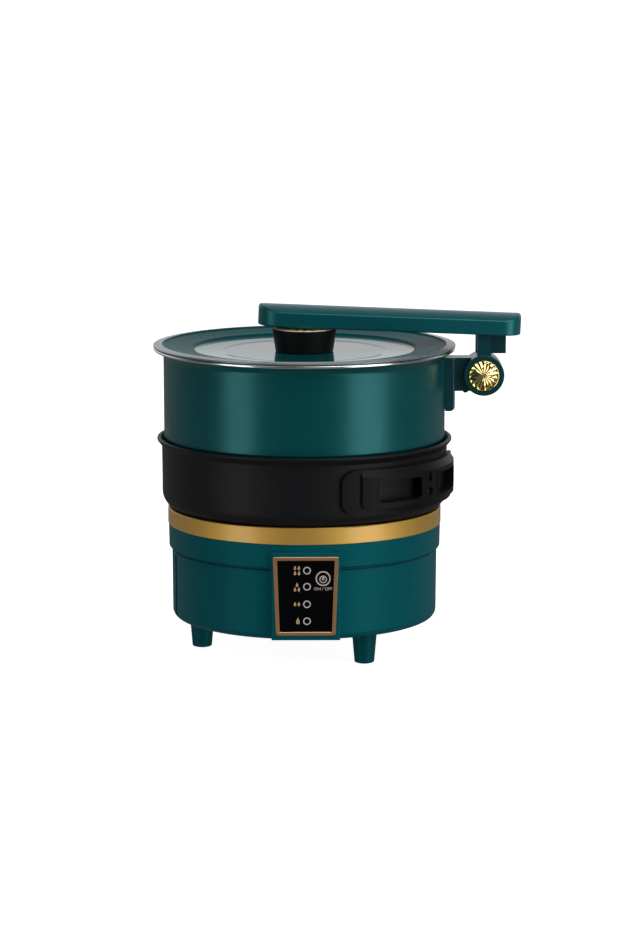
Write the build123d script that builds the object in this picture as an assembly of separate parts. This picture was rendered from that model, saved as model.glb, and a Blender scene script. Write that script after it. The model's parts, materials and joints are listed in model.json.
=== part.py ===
"""Split electric hot pot: heater base, shallow pan, deep pot with a folding handle, and a lift-off lid.

Millimetres, +Z up. The origin is on the common axis of base, pan, pot and lid, at the table.
The control panel faces -Y. Each function models one piece and the table at the end writes one STEP per node.
"""

import os
from math import cos, radians, sin, sqrt, tan

from build123d import *

# ---------------------------------------------------------------- driving dimensions
STACK_GAP = 0.3  # between pieces that only stand on each other
SLIP = 0.15  # around trim and covers that drop into a seat
PIN_CLEARANCE = 0.05  # radial, around the hinge pin
POT_RADIUS = 98.8  # outside of the pot's wall, which the other round pieces follow

# heater base
BASE_LIFT = 22.3  # underside of the housing above the table
BASE_RADIUS = POT_RADIUS - 5.4
BASE_DRAFT = 0.4  # the lower wall narrows by this much towards its foot
BASE_WALL = 2.8
BASE_FOOT_ROUND = 5.5
BAND_STEP_Z = BASE_LIFT + 48.8  # groove between the lower wall and the upper band
GROOVE_HEIGHT = 1.7
GROOVE_DEPTH = 1.0
UPPER_RADIUS = BASE_RADIUS + 2.4
GOLD_Z = BASE_LIFT + 67.2
GOLD_HEIGHT = 11.8
GOLD_RADIUS = UPPER_RADIUS + 0.4
GOLD_THICKNESS = 2.2
DECK_THICKNESS = 1.9
DECK_SUNK = 1.6  # below the gold band's upper edge
COVER_MARGIN = 9.3  # from the housing's outside to the bottom cover's edge
COVER_THICKNESS = 2.4
COVER_RECESS = 0.8
COVER_SCREW_INSET = 4.5
LEDGE_THICKNESS = 2.2
LEDGE_WIDTH = 8.0

# hotplate and temperature sensor
HOTPLATE_RADIUS = BASE_RADIUS - 18.5
HOTPLATE_THICKNESS = 11.0
HOTPLATE_PROUD = 0.2
ELEMENT_INSET = 22.5  # of the heating tube, from the hotplate's edge
ELEMENT_TUBE_RADIUS = 3.5
SENSOR_RADIUS = 12.0
SENSOR_TRAVEL = 1.5
SENSOR_SKIRT = 8.0  # free height of the sensor's spring
SHIELD_DEPTH = 10.0  # free height under the hotplate
SHIELD_SHEET = 1.0
HOLDER_SHEET = 1.5

# control panel
PANEL_PROUD = 3.0  # of the panel's face in front of the housing's wall
PANEL_BLOCK_LOW = BASE_LIFT + 1.0
PANEL_BLOCK_TOP = BASE_LIFT + 62.1
PANEL_BLOCK_MARGIN = 1.1  # beside the frame
FRAME_TOP_WIDTH = 44.8
FRAME_BOTTOM_WIDTH = 40.8
FRAME_LOW_Z = BASE_LIFT + 4.4
FRAME_HIGH_Z = BASE_LIFT + 59.1
FRAME_BAR = 2.6
FRAME_PROUD = 0.6
FRAME_SEAT_DEPTH = 3.4
LENS_THICKNESS = 2.6
KEY_RADIUS = 4.1
KEY_FLANGE = 0.9
KEY_TRAVEL = 0.6
KEY_X = 11.8
KEY_Z = BASE_LIFT + 44.0
SWITCH_HEIGHT = 3.0
LED_X = 0.8
LED_RISES = (49.6, 38.4, 26.2, 14.4)  # above the housing's underside
LED_RADIUS = 1.5
BOARD_GAP = 5.8  # from the lens to the control board
BOARD_HALF_WIDTH = 18.5
BOARD_POST_X = 15.0
BOARD_POST_RADIUS = 2.6

# vents
VENT_WIDTH = 4.0
VENT_RIM = 0.8  # the opening is this much narrower than its recess, each side
VENT_PITCH_DEG = 7.6
VENT_COUNT = 5
VENT_LOW_Z = BASE_LIFT + 1.9
VENT_HIGH_Z = BAND_STEP_Z - 1.8
VENT_DEPTH = 1.6
LEFT_VENT_DEG = -75.3
RIGHT_VENT_DEG = 83.0

# feet
FOOT_CIRCLE = BASE_RADIUS - 20.7
FOOT_ANGLES_DEG = (34.3, 154.3, 274.3)  # from the panel side, towards +X
FOOT_TOP_RADIUS = 8.8
FOOT_LOW_RADIUS = 6.85
FOOT_PAD_RADIUS = 5.0
FOOT_PAD_PROUD = 0.4
FOOT_PAD_DEPTH = 1.6
FOOT_SCREW_DEPTH = 9.0

# power inlet
INLET_Z = BASE_LIFT + 22.0
INLET_WIDTH = 27.0
INLET_HEIGHT = 19.5
INLET_WALL = 1.8
INLET_DEPTH = 19.0
INLET_FLANGE = 2.2
INLET_FLANGE_DEPTH = 3.0
INLET_PROUD = 1.0
PIN_RECESS = 6.0
PIN_TAIL = 6.0

# pan
PAN_RADIUS = POT_RADIUS + 1.1
PAN_FLOOR = 3.0
PAN_WALL = 2.4
PAN_DRAFT = 0.4
PAN_HEIGHT = 50.2
PAN_LIP_RADIUS = PAN_RADIUS + 3.6
PAN_LIP_BAND = 1.5
PAN_FLARE_HEIGHT = 5.8
PAN_FOOT_ROUND = 12.0
PAN_TURN_DEG = -37.6  # direction of the pan's ear from +X
EAR_RISE = 9.4  # from the pan's underside
EAR_HEIGHT = 31.2
EAR_PLATE_HALF_SPAN_DEG = 38.5  # of the thin plate behind the ear's face
EAR_PLATE_DEPTH = 2.6
EAR_PLATE_ROUND = 9.5
EAR_FACE_HALF_SPAN_DEG = 30.9
EAR_FACE_RISE = 4.7  # of the face's underside above the plate's
EAR_FACE_ROUND = 3.4
EAR_DEPTH = 8.0  # radial, at the middle of the ear
EAR_END_DEPTH = 4.8
EAR_SLOPE_HEIGHT = 4.6  # of the face's sloping upper edge
EAR_SLOPE_DEPTH = 3.0
EAR_WINDOW_DEG = 14.7  # middle of each window from the middle of the ear
EAR_WINDOW_WIDTH = 36.0
EAR_WINDOW_HEIGHT = 15.2
EAR_WINDOW_RISE = 0.4  # of the windows' middle above the ear's
EAR_LIP_WIDTH = 1.1  # raised lip round each window
EAR_LIP_PROUD = 0.4
EAR_SCREW_DROP = 4.2  # below the windows' middle
EAR_SCREW_SEAT = 4.6  # outwards from the pan's wall

# pot
NEST_GAP = 0.9  # between the pot's lower wall and the pan
POT_TAPER = 0.5
POT_WALL = 1.8
POT_FLOOR = 2.5
POT_FOOT_ROUND = 14.0
POT_HEIGHT = 110.2
POT_RIM_RADIUS = POT_RADIUS + 6.9
POT_RIM_HEIGHT = 2.2
POT_RIM_DEPTH = 2.1
POT_RIM_ROUND = 0.8
POT_LIP_HALF = 0.6
POT_FLARE_HEIGHT = 6.5

# lid
LID_RIM_INNER = POT_RADIUS + 0.9
LID_RIM_OUTER = POT_RIM_RADIUS + 0.3
LID_RIM_HEIGHT = 1.8
LID_SHEET = 1.2
LID_GUTTER_DROP = 2.2
LID_CONE_OUTER = LID_RIM_INNER - 7.3
LID_CONE_WIDTH = 14.0
LID_CONE_DROP = 2.3
LID_CONE_LIP = 0.5
LID_STEP_RADIUS = 57.0
LID_STEP_DROP = 0.7
KNOB_BASE_RADIUS = 20.2
KNOB_FOOT_ROUND = 1.2
KNOB_TOP_RADIUS = 22.5
KNOB_HEIGHT = 16.0
KNOB_CAP_PROUD = 0.5
KNOB_CAP_THICKNESS = 1.6
KNOB_LIP = 1.1
KNOB_CAP_RAYS = 16

# folding handle
HINGE_REACH = 26.6  # from the pot's wall to the hinge's axis
HINGE_DROP = 19.5  # of the hinge's axis below the pot's rim
BARREL_RADIUS = 14.3
BARREL_HALF_LENGTH = 14.2
KNUCKLE_HALF_LENGTH = 7.4
WASHER_THICKNESS = 0.5
PIN_RADIUS = 3.0
CAP_RADIUS = 10.7
CAP_THICKNESS = 1.8
CAP_PROUD = 0.5
CAP_RAYS = 18
STEM_WIDTH = 9.4
LUG_REACH = 15.4
LUG_CLEARANCE = 0.9
BAR_OVERHANG = 33.8  # of the bar's free end beyond the pot's axis
BAR_HINGE_END = 24.7  # of the bar's other end beyond the hinge's axis
BAR_WIDTH = 32.5
BAR_SIDE_HEIGHT = 10.4
BAR_CROWN = 4.2
BAR_CORNER = 13.0
BAR_CROWN_ROUND = 2.0
BAR_LOW_ROUND = 1.1
BAR_WALL = 2.4
BAR_COVER_THICKNESS = 2.0
BAR_TILT_DEG = 2.3
KNOB_GAP = 0.5  # between the folded bar and the knob's cap
BRACKET_PLATE_DEPTH = 6.7
BRACKET_PLATE_WIDTH = 16.4
BRACKET_PLATE_LOW = -26.1  # from the hinge axis
ARM_LOW = -11.7
ARM_HIGH = 11.8
STOP_X = -12.2
STOP_RADIUS = 1.65
STOP_PROUD = 2.0

# small parts
SCREW_RADIUS = 1.5
SCREW_HEAD_RADIUS = 2.8
SCREW_HEAD_HEIGHT = 1.8
BOARD_THICKNESS = 1.6
POWER_BOARD_LIFT = 4.5  # above the bottom cover
SUNBURST_BEVEL = 0.3
SUNBURST_BOSS = 0.13  # radius of the smooth middle, as a share of the cap's
SUNBURST_REACH = 0.95
SUNBURST_PLEAT_FILL = 0.96
SUNBURST_PLEAT_SLOPE = 0.45

# ---------------------------------------------------------------- derived heights and radii
GOLD_TOP = GOLD_Z + GOLD_HEIGHT
NECK_RADIUS = GOLD_RADIUS - GOLD_THICKNESS - SLIP
DECK_TOP = GOLD_TOP - DECK_SUNK
NECK_TOP = DECK_TOP - DECK_THICKNESS
HOTPLATE_TOP = DECK_TOP + HOTPLATE_PROUD
HOTPLATE_LOW = HOTPLATE_TOP - HOTPLATE_THICKNESS
ELEMENT_RING_RADIUS = HOTPLATE_RADIUS - ELEMENT_INSET
SHIELD_FLOOR = HOTPLATE_LOW - SHIELD_DEPTH
SENSOR_BORE = SENSOR_RADIUS - 3.4
PAN_LOW = HOTPLATE_TOP + STACK_GAP
PAN_INSIDE_Z = PAN_LOW + PAN_FLOOR
PAN_TOP = PAN_LOW + PAN_HEIGHT
EAR_LOW_Z = PAN_LOW + EAR_RISE
EAR_HIGH_Z = EAR_LOW_Z + EAR_HEIGHT
EAR_WINDOW_Z = (EAR_LOW_Z + EAR_HIGH_Z) / 2 + EAR_WINDOW_RISE
EAR_INNER_RADIUS = PAN_RADIUS + PAN_DRAFT + 0.1 + SLIP
POT_LOW = PAN_INSIDE_Z + STACK_GAP
POT_INSIDE_Z = POT_LOW + POT_FLOOR
POT_NEST_RADIUS = PAN_RADIUS - PAN_WALL - NEST_GAP
POT_RIM_Z = POT_LOW + POT_HEIGHT
POT_RIM_LOW = POT_RIM_Z - POT_RIM_HEIGHT
LID_RIM_LOW = POT_RIM_Z + STACK_GAP
LID_RIM_TOP = LID_RIM_LOW + LID_RIM_HEIGHT
LID_LEDGE_Z = LID_RIM_TOP - LID_GUTTER_DROP
LID_DISC_Z = LID_LEDGE_Z - LID_CONE_DROP - LID_CONE_LIP
LID_CENTRE_Z = LID_DISC_Z - LID_STEP_DROP
LID_CONE_INNER = LID_CONE_OUTER - LID_CONE_WIDTH
KNOB_TOP = LID_CENTRE_Z + KNOB_HEIGHT
BASE_INNER_RADIUS = BASE_RADIUS - BASE_WALL
COVER_RADIUS = BASE_RADIUS - COVER_MARGIN
COVER_LOW = BASE_LIFT + COVER_RECESS
COVER_TOP = COVER_LOW + COVER_THICKNESS
CAVITY_LOW = COVER_TOP + SLIP + LEDGE_THICKNESS
LEDGE_INNER = COVER_RADIUS - LEDGE_WIDTH
POWER_BOARD_LOW = COVER_TOP + POWER_BOARD_LIFT
POWER_BOARD_TOP = POWER_BOARD_LOW + BOARD_THICKNESS
PANEL_BLOCK_WIDTH = FRAME_TOP_WIDTH + 2 * PANEL_BLOCK_MARGIN
PANEL_FACE_Y = -BASE_RADIUS - PANEL_PROUD
LENS_BACK_Y = PANEL_FACE_Y + FRAME_SEAT_DEPTH
BOARD_FRONT_Y = LENS_BACK_Y + BOARD_GAP
INLET_FACE_Y = BASE_RADIUS + INLET_PROUD
HINGE_RADIUS = POT_RADIUS + HINGE_REACH
HINGE_Z = POT_RIM_Z - HINGE_DROP
EAR_INNER = KNUCKLE_HALF_LENGTH + PIN_CLEARANCE + WASHER_THICKNESS + PIN_CLEARANCE
BAR_FREE_END = -HINGE_RADIUS - BAR_OVERHANG
KNOB_TO_HINGE = HINGE_RADIUS - KNOB_TOP_RADIUS
BAR_LIFT = KNOB_TOP + KNOB_CAP_PROUD + KNOB_GAP - HINGE_Z - KNOB_TO_HINGE * sin(radians(BAR_TILT_DEG))
PAN_PLACE = Rot(0, 0, PAN_TURN_DEG)
HINGE_FRAME = Pos(HINGE_RADIUS, 0, HINGE_Z)
BAR_FRAME = HINGE_FRAME * Rot(0, BAR_TILT_DEG, 0) * Pos(0, 0, BAR_LIFT)


# ---------------------------------------------------------------- shared shapes
def outline(points, rounds=()):
    """A closed flat outline. rounds lists (point number, fillet radius)."""
    face = make_face(Polyline(*points, close=True))
    for number, radius in rounds:
        corner = face.vertices().sort_by_distance(Vector(*points[number], 0))[0]
        face = fillet(corner, radius)
    return face


def turned(points, rounds=()):
    """A solid of revolution about Z from (radius, height) points."""
    return revolve(Plane.XZ * outline(points, rounds), Axis.Z)


def ring(inner, outer, low, high):
    """A plain ring, or a disc where inner is 0."""
    section = Circle(outer) - Circle(inner) if inner else Circle(outer)
    return Pos(0, 0, low) * extrude(section, high - low)


def block(x, y, z):
    """A box between the (low, high) pairs of its three axes."""
    size = (x[1] - x[0], y[1] - y[0], z[1] - z[0])
    return Pos((x[0] + x[1]) / 2, (y[0] + y[1]) / 2, (z[0] + z[1]) / 2) * Box(*size)


def rod_y(radius, x, z, y_low, y_high):
    """A round rod along Y."""
    return Pos(x, (y_low + y_high) / 2, z) * Rot(90, 0, 0) * Cylinder(radius, y_high - y_low)


def from_panel(angle_deg, radius, z=0.0):
    """A place at an angle from the panel side (-Y), positive towards +X. Its +X axis points outwards."""
    return Rot(0, 0, angle_deg - 90) * Pos(radius, 0, z)


def group(solids):
    """Separate identical solids in one node."""
    return Compound(children=[s if isinstance(s, Solid) else s.solids()[0] for s in solids])


def screw(length, radius=SCREW_RADIUS, head=SCREW_HEAD_RADIUS):
    """A pan-head screw with its head's underside at z=0, its shank below and a cross recess in the head."""
    body = Pos(0, 0, SCREW_HEAD_HEIGHT / 2) * Cylinder(head, SCREW_HEAD_HEIGHT)
    body = fillet(body.edges().sort_by(Axis.Z)[-1], SCREW_HEAD_HEIGHT * 0.4)
    body += Pos(0, 0, -length / 2) * Cylinder(radius, length)
    slot = Box(head * 1.2, head * 0.28, SCREW_HEAD_HEIGHT)
    for turn in (0, 90):
        body -= Pos(0, 0, SCREW_HEAD_HEIGHT * 1.05) * Rot(0, 0, turn) * slot
    return body


def pleat(start, end, half_width, depth):
    """A V-shaped cutter along +X under z=0, which grows from a point's width to its full size."""
    wedges = []
    for x, scale in ((start, 0.04), (end, 1.0)):
        points = [(-half_width * scale, 0), (0, -depth * scale), (half_width * scale, 0)]
        wedges.append(Plane.YZ.offset(x) * make_face(Polyline(*points, close=True)))
    return loft(wedges, ruled=True)


def sunburst(radius, thickness, rays):
    """A disc on z=0 with pleats that widen from a centre boss to the edge, like the rays of a sun."""
    disc = ring(0, radius, 0, thickness)
    disc = chamfer(disc.edges().sort_by(Axis.Z)[-1], SUNBURST_BEVEL)
    reach = radius * SUNBURST_REACH
    half_width = reach * tan(radians(180 / rays)) * SUNBURST_PLEAT_FILL
    depth = half_width * SUNBURST_PLEAT_SLOPE
    cutter = Pos(0, 0, thickness) * pleat(radius * SUNBURST_BOSS, reach, half_width, depth)
    for k in range(rays):
        disc -= Rot(0, 0, k * 360 / rays) * cutter
    return disc


# ---------------------------------------------------------------- heater base
def panel_outline(inset):
    """The panel's outline, wider at the top, on the XZ plane."""
    low, high = FRAME_LOW_Z + inset, FRAME_HIGH_Z - inset
    slope = (FRAME_TOP_WIDTH - FRAME_BOTTOM_WIDTH) / 2 / (FRAME_HIGH_Z - FRAME_LOW_Z)
    half_low = FRAME_BOTTOM_WIDTH / 2 - inset + slope * inset
    half_high = FRAME_TOP_WIDTH / 2 - inset - slope * inset
    points = [(-half_low, low), (half_low, low), (half_high, high), (-half_high, high)]
    corner = max(2.2 - 0.6 * inset, 0.4)
    return Plane.XZ * outline(points, [(0, corner), (1, corner), (2, corner * 0.4), (3, corner * 0.4)])


def panel_plate(inset, y_front, y_back):
    """A plate with the panel's outline between two depths."""
    return Pos(0, y_back, 0) * extrude(panel_outline(inset), y_back - y_front)


def vent_places():
    left = [LEFT_VENT_DEG - k * VENT_PITCH_DEG for k in range(VENT_COUNT)]
    right = [RIGHT_VENT_DEG + k * VENT_PITCH_DEG for k in range(VENT_COUNT)]
    return [from_panel(angle, BASE_RADIUS) for angle in left + right]


def base_housing():
    foot_radius = BASE_RADIUS - BASE_DRAFT
    shell = turned(
        [
            (COVER_RADIUS + SLIP, BASE_LIFT),
            (foot_radius, BASE_LIFT),
            (BASE_RADIUS, BAND_STEP_Z),
            (BASE_RADIUS - GROOVE_DEPTH, BAND_STEP_Z),
            (BASE_RADIUS - GROOVE_DEPTH, BAND_STEP_Z + GROOVE_HEIGHT),
            (UPPER_RADIUS - 0.3, BAND_STEP_Z + GROOVE_HEIGHT),
            (UPPER_RADIUS, GOLD_Z),
            (NECK_RADIUS, GOLD_Z),
            (NECK_RADIUS, NECK_TOP),
            (BASE_INNER_RADIUS, NECK_TOP),
            (BASE_INNER_RADIUS, CAVITY_LOW),
            (LEDGE_INNER, CAVITY_LOW),
            (LEDGE_INNER, COVER_TOP + SLIP),
            (COVER_RADIUS + SLIP, COVER_TOP + SLIP),
        ],
        [(1, BASE_FOOT_ROUND), (2, 0.4), (5, 1.0)],
    )
    half = PANEL_BLOCK_WIDTH / 2
    front = block((-half, half), (PANEL_FACE_Y, -BASE_INNER_RADIUS + 15), (PANEL_BLOCK_LOW, PANEL_BLOCK_TOP))
    front = fillet(front.faces().sort_by(Axis.Y)[0].edges(), 1.4)
    front -= ring(0, BASE_RADIUS - 1, BASE_LIFT - 1, PANEL_BLOCK_TOP + 1)
    shell += front
    shell -= panel_plate(-SLIP, PANEL_FACE_Y - 1, LENS_BACK_Y)
    shell -= panel_plate(FRAME_BAR + 1.5, PANEL_FACE_Y - 1, -BASE_INNER_RADIUS + 12)
    half = VENT_WIDTH / 2
    slot = block((-VENT_DEPTH, 8), (-half, half), (VENT_LOW_Z, VENT_HIGH_Z))
    narrow = half - VENT_RIM
    opening = block((-BASE_WALL * 2, 0), (-narrow, narrow), (VENT_LOW_Z + 8, VENT_HIGH_Z - 6))
    for place in vent_places():
        shell -= place * slot
        shell -= place * opening
    wide, tall = INLET_WIDTH + 2 * INLET_FLANGE, INLET_HEIGHT + 2 * INLET_FLANGE
    seat_y = INLET_FACE_Y - INLET_FLANGE_DEPTH
    shell -= inlet_block(wide + 2 * SLIP, tall + 2 * SLIP, seat_y, INLET_FACE_Y + 5)
    shell -= inlet_block(INLET_WIDTH + 2 * SLIP, INLET_HEIGHT + 2 * SLIP, seat_y - 10, seat_y + 1)
    for place in cover_screw_places():
        shell -= place * Cylinder(SCREW_RADIUS, 20)
    post_front = -sqrt(BASE_INNER_RADIUS**2 - BOARD_POST_X**2) - 1.0
    for x in (-BOARD_POST_X, BOARD_POST_X):
        for z in (FRAME_LOW_Z + FRAME_BAR, FRAME_HIGH_Z - FRAME_BAR):
            shell += rod_y(BOARD_POST_RADIUS, x, z, post_front, BOARD_FRONT_Y)
    return shell


def gold_band():
    inner = GOLD_RADIUS - GOLD_THICKNESS
    points = [(inner, GOLD_Z), (GOLD_RADIUS, GOLD_Z), (GOLD_RADIUS, GOLD_TOP), (inner, GOLD_TOP)]
    return turned(points, [(1, 0.4), (2, 0.8)])


def deck_ring():
    hole = HOTPLATE_RADIUS + 1.5
    skirt_inner = BASE_INNER_RADIUS - 2.5
    return turned(
        [
            (hole, DECK_TOP - 0.2),
            (hole + 6, DECK_TOP - 0.9),
            (hole + 10, DECK_TOP),
            (NECK_RADIUS, DECK_TOP),
            (NECK_RADIUS, NECK_TOP),
            (BASE_INNER_RADIUS - SLIP, NECK_TOP),
            (BASE_INNER_RADIUS - SLIP, NECK_TOP - 6),
            (skirt_inner, NECK_TOP - 6),
            (skirt_inner, NECK_TOP),
            (hole, NECK_TOP - 0.5),
        ],
        [(3, 0.6)],
    )


def hotplate():
    groove = 0.5
    plate = turned(
        [
            (SENSOR_RADIUS + 1.0, HOTPLATE_LOW),
            (HOTPLATE_RADIUS - 3, HOTPLATE_LOW),
            (HOTPLATE_RADIUS, HOTPLATE_LOW + 3),
            (HOTPLATE_RADIUS, HOTPLATE_TOP),
            (SENSOR_RADIUS + 1.0, HOTPLATE_TOP),
        ],
        [(3, 1.6), (4, 0.6)],
    )
    for radius in range(20, int(HOTPLATE_RADIUS) - 6, 8):
        plate -= ring(radius, radius + 1.6, HOTPLATE_TOP - groove, HOTPLATE_TOP + 1)
    channel = Torus(ELEMENT_RING_RADIUS, ELEMENT_TUBE_RADIUS + 0.1)
    return plate - Pos(0, 0, HOTPLATE_LOW) * channel


def heating_element():
    """An almost closed ring with two terminals that turn down."""
    gap_deg = 16.0
    tube = Plane.XZ * Pos(ELEMENT_RING_RADIUS, 0) * Circle(ELEMENT_TUBE_RADIUS)
    coil = revolve(tube, Axis.Z, 360 - gap_deg)
    coil = Pos(0, 0, HOTPLATE_LOW) * Rot(0, 0, 90 + gap_deg / 2) * coil
    for side in (-1, 1):
        place = Rot(0, 0, 90 + side * (gap_deg / 2 + 5)) * Pos(ELEMENT_RING_RADIUS, 0, HOTPLATE_LOW)
        coil += place * Pos(0, 0, -4.5) * Cylinder(1.6, 9.0)
    return coil


def heat_shield():
    flange = BASE_INNER_RADIUS - 4.0
    rim = HOTPLATE_RADIUS + 5.5
    dish = turned(
        [
            (4.0, SHIELD_FLOOR - SHIELD_SHEET),
            (rim, SHIELD_FLOOR - SHIELD_SHEET),
            (rim + 1.5, NECK_TOP - 0.6 - SHIELD_SHEET),
            (flange, NECK_TOP - 0.6 - SHIELD_SHEET),
            (flange, NECK_TOP - 0.6),
            (rim + 0.5, NECK_TOP - 0.6),
            (rim - 1.0, SHIELD_FLOOR),
            (4.0, SHIELD_FLOOR),
        ],
        [(1, 3.0), (6, 2.0)],
    )
    for side in (-1, 1):
        place = Rot(0, 0, 90 + side * 13) * Pos(ELEMENT_RING_RADIUS, 0, SHIELD_FLOOR)
        dish -= place * Cylinder(3.0, 6.0)
    return dish


def plate_posts():
    """Three posts that carry the hotplate on the heat shield."""
    post = ring(0, 4.0, SHIELD_FLOOR, HOTPLATE_LOW)
    return group([Rot(0, 0, 30 + k * 120) * Pos(34, 0, 0) * post for k in range(3)])


def sensor_holder():
    """A guide for the sensor's skirt, with the spring inside it."""
    return turned(
        [
            (SENSOR_RADIUS * 0.3, SHIELD_FLOOR),
            (SENSOR_RADIUS + 9, SHIELD_FLOOR),
            (SENSOR_RADIUS + 9, SHIELD_FLOOR + HOLDER_SHEET),
            (SENSOR_RADIUS, SHIELD_FLOOR + HOLDER_SHEET),
            (SENSOR_RADIUS, HOTPLATE_TOP - 3.2 - SENSOR_TRAVEL),
            (SENSOR_BORE, HOTPLATE_TOP - 3.2 - SENSOR_TRAVEL),
            (SENSOR_BORE, SHIELD_FLOOR + HOLDER_SHEET),
            (SENSOR_RADIUS * 0.3, SHIELD_FLOOR + HOLDER_SHEET),
        ]
    )


def sensor_cap():
    stem = SENSOR_BORE - 0.3
    low = SHIELD_FLOOR + HOLDER_SHEET + SENSOR_SKIRT
    return turned(
        [
            (0, HOTPLATE_TOP),
            (SENSOR_RADIUS, HOTPLATE_TOP),
            (SENSOR_RADIUS, HOTPLATE_TOP - 2),
            (stem, HOTPLATE_TOP - 2),
            (stem, low),
            (stem - 1.2, low),
            (stem - 1.2, HOTPLATE_TOP - 3.2),
            (0, HOTPLATE_TOP - 3.2),
        ],
        [(1, 0.8)],
    )


def sensor_spring():
    """A compression spring between the holder's floor and the cap's skirt."""
    low = SHIELD_FLOOR + HOLDER_SHEET
    high = low + SENSOR_SKIRT
    wire = 0.5
    coil_radius = SENSOR_BORE - 0.9
    path = Pos(0, 0, low + wire) * Helix((high - low - 2 * wire) / 4, high - low - 2 * wire, coil_radius)
    section = Plane(origin=path @ 0, z_dir=path % 0) * Circle(wire)
    return sweep(section, path, is_frenet=True)


def thermal_fuse():
    """A cut-out switch clipped on the underside of the heat shield."""
    z = SHIELD_FLOOR - SHIELD_SHEET
    body = Pos(30, -38, z - 4) * Cylinder(7.5, 8.0)
    body += Pos(30, -38, z - 8.6) * Box(11, 4, 1.2)
    return body + Pos(30, -38, z - 0.6) * Box(24, 8, 1.2)


def panel_frame():
    frame = panel_plate(0, PANEL_FACE_Y - FRAME_PROUD, LENS_BACK_Y)
    frame -= panel_plate(FRAME_BAR, PANEL_FACE_Y - 2, LENS_BACK_Y + 1)
    return chamfer(frame.faces().sort_by(Axis.Y)[0].edges(), 0.35)


def panel_lens():
    lens = panel_plate(FRAME_BAR + SLIP / 2, LENS_BACK_Y - LENS_THICKNESS, LENS_BACK_Y)
    return lens - rod_y(KEY_RADIUS + SLIP, KEY_X, KEY_Z, LENS_BACK_Y - 5, LENS_BACK_Y + 1)


def power_key():
    face = LENS_BACK_Y - LENS_THICKNESS - 0.1
    key = rod_y(KEY_RADIUS, KEY_X, KEY_Z, face, LENS_BACK_Y + 0.3)
    key = fillet(key.edges().sort_by(Axis.Y)[0], 0.3)
    key += rod_y(KEY_RADIUS + KEY_FLANGE, KEY_X, KEY_Z, LENS_BACK_Y + 0.2, LENS_BACK_Y + 1.0)
    return key + rod_y(1.4, KEY_X, KEY_Z, LENS_BACK_Y + 0.9, BOARD_FRONT_Y - SWITCH_HEIGHT - 0.2 - KEY_TRAVEL)


def key_switch():
    half = 3.0
    x, z = (KEY_X - half, KEY_X + half), (KEY_Z - half, KEY_Z + half)
    return block(x, (BOARD_FRONT_Y - SWITCH_HEIGHT, BOARD_FRONT_Y), z)


def control_board():
    back = BOARD_FRONT_Y + BOARD_THICKNESS
    low = max(CAVITY_LOW, FRAME_LOW_Z) + SLIP
    return block((-BOARD_HALF_WIDTH, BOARD_HALF_WIDTH), (BOARD_FRONT_Y, back), (low, FRAME_HIGH_Z - SLIP))


def indicator_leds():
    """Four light guides, one behind each level mark."""
    guides = [rod_y(LED_RADIUS, LED_X, BASE_LIFT + z, LENS_BACK_Y + 0.1, BOARD_FRONT_Y) for z in LED_RISES]
    return group(guides)


def bottom_cover():
    cover = ring(0, COVER_RADIUS, COVER_LOW, COVER_TOP)
    slot = Box(30, 3.0, 10)
    for k in range(-3, 4):
        cover -= Pos(0, k * 7.0, COVER_LOW) * slot
    for place in cover_screw_places():
        cover -= place * Cylinder(SCREW_RADIUS + 0.1, 10)
    for angle in FOOT_ANGLES_DEG:
        cover -= from_panel(angle, FOOT_CIRCLE, COVER_LOW) * Cylinder(SCREW_RADIUS + 0.1, 10)
    for x in (-30, 30):
        for y in (-20, 20):
            cover += Pos(x, y, 0) * ring(0, 3.0, COVER_TOP, POWER_BOARD_LOW)
    return cover


def cover_screw_places():
    return [Rot(0, 0, 45 + 90 * k) * Pos(COVER_RADIUS - COVER_SCREW_INSET, 0, COVER_LOW) for k in range(4)]


def cover_screws():
    """Screws through the cover into the housing's ledge."""
    length = COVER_THICKNESS + SLIP + LEDGE_THICKNESS
    return group([place * Rot(180, 0, 0) * screw(length) for place in cover_screw_places()])


def feet():
    foot = turned(
        [
            (0, FOOT_PAD_PROUD),
            (FOOT_LOW_RADIUS, FOOT_PAD_PROUD),
            (FOOT_TOP_RADIUS, COVER_LOW),
            (SCREW_RADIUS, COVER_LOW),
            (SCREW_RADIUS, COVER_LOW - FOOT_SCREW_DEPTH),
            (0, COVER_LOW - FOOT_SCREW_DEPTH),
        ],
        [(1, 1.0)],
    )
    foot -= ring(0, FOOT_PAD_RADIUS + SLIP, 0, FOOT_PAD_DEPTH)
    return group([from_panel(angle, FOOT_CIRCLE) * foot for angle in FOOT_ANGLES_DEG])


def foot_pads():
    pad = ring(0, FOOT_PAD_RADIUS, 0, FOOT_PAD_DEPTH)
    pad = fillet(pad.edges().sort_by(Axis.Z)[0], 0.3)
    return group([from_panel(angle, FOOT_CIRCLE) * pad for angle in FOOT_ANGLES_DEG])


def foot_screws():
    length = COVER_THICKNESS + FOOT_SCREW_DEPTH - 0.9
    return group([from_panel(angle, FOOT_CIRCLE, COVER_TOP) * screw(length) for angle in FOOT_ANGLES_DEG])


def inlet_block(width, height, y_low, y_high):
    return block((-width / 2, width / 2), (y_low, y_high), (INLET_Z - height / 2, INLET_Z + height / 2))


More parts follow.
